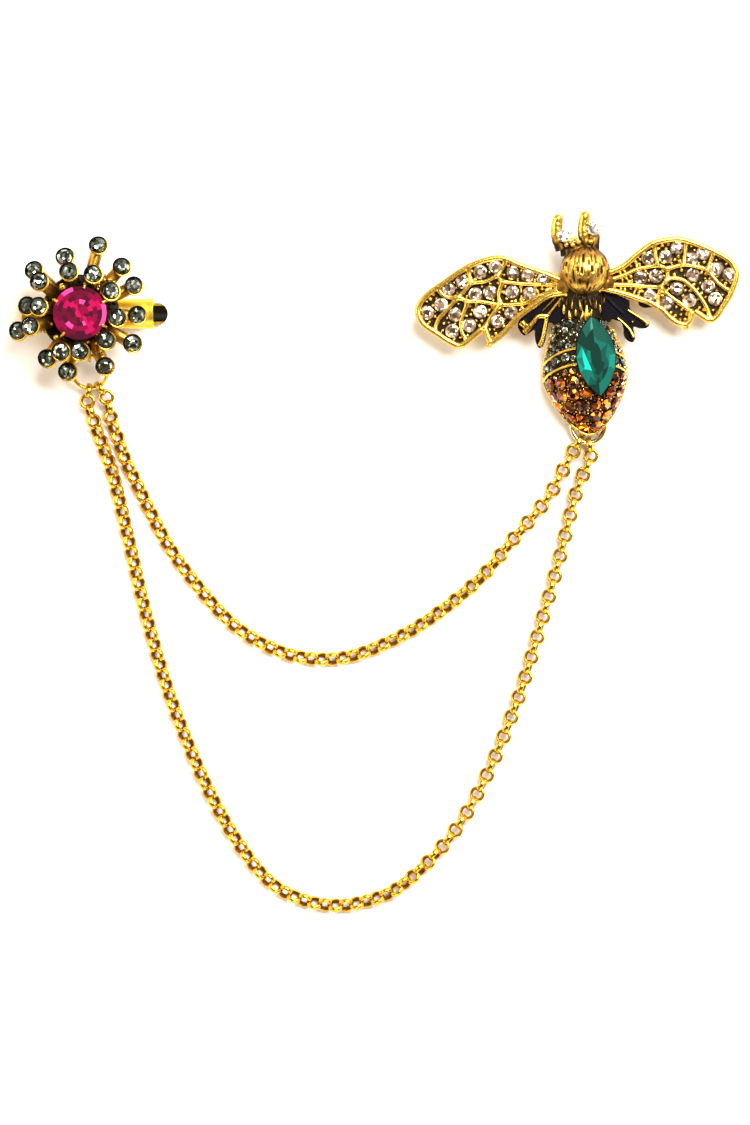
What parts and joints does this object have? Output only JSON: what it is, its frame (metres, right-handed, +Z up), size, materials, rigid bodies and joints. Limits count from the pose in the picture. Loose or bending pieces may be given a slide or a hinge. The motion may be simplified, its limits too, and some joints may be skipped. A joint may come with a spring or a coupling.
{
  "type": "lapel chain",
  "caption": "Lapel chain: a jewelled bee brooch and a jewelled flower on a spring clip, joined by a long and a short rolo chain that hang from a ring at each end.",
  "frame": {"origin": "middle of the bounding box, on the surface that the jewel lies on", "axes": "+X to the right, from the flower to the bee; +Y up the page, towards the bee's head; +Z up from the surface"},
  "size_m": [0.1122, 0.1083, 0.0105],
  "materials": {
    "antique_gold": "antique bright gold plating, polished on the edges and dark brown in the recesses",
    "chain_gold": "bright yellow gold plating",
    "pale_gold": "pale lemon gold, polished",
    "green_stone": "faceted emerald green glass with a foiled back",
    "clear_stone": "faceted clear glass with a slight champagne tint, foiled back",
    "orange_stone": "faceted orange-brown topaz glass, foiled back",
    "smoke_stone": "faceted smoky grey-green glass, foiled back",
    "pink_stone": "faceted fuchsia glass, foiled back"
  },
  "bodies": {
    "root": {"bee_body": "antique_gold", "bee_pin": "antique_gold", "marquise_stone": "green_stone", "eye_stone_left": "clear_stone", "eye_stone_right": "clear_stone", "left_wing_stones": "clear_stone", "right_wing_stones": "clear_stone", "orange_stones": "orange_stone", "smoke_stones": "smoke_stone", "bee_ring": "pale_gold", "outer_chain": "chain_gold", "inner_chain": "chain_gold", "flower_ring": "chain_gold", "flower_setting": "antique_gold", "centre_stone": "pink_stone", "petal_stone_1": "smoke_stone", "petal_stone_2": "smoke_stone", "petal_stone_3": "smoke_stone", "petal_stone_4": "smoke_stone", "petal_stone_5": "smoke_stone", "petal_stone_6": "smoke_stone", "petal_stone_7": "smoke_stone", "petal_stone_8": "smoke_stone", "petal_stone_9": "smoke_stone", "petal_stone_10": "smoke_stone", "petal_stone_11": "smoke_stone", "petal_stone_12": "smoke_stone", "petal_stone_13": "smoke_stone", "petal_stone_14": "smoke_stone", "petal_stone_15": "smoke_stone", "petal_stone_16": "smoke_stone", "petal_stone_17": "smoke_stone", "petal_stone_18": "smoke_stone", "petal_stone_19": "smoke_stone", "petal_stone_20": "smoke_stone", "petal_stone_21": "smoke_stone", "petal_stone_22": "smoke_stone", "clip_upper": "antique_gold", "clip_spring": "antique_gold"},
    "lower_jaw": {"clip_lower": "antique_gold"}
  },
  "joints": [
    {"name": "clip_hinge", "type": "hinge", "parent": "root", "child": "lower_jaw", "pos_m": [-0.0421, 0.0382, 0.0023], "axis": [0, -1, 0], "range_deg": [0, 15], "stiffness_Nm_per_rad": 0.03, "springref_deg": -28.65}
  ]
}
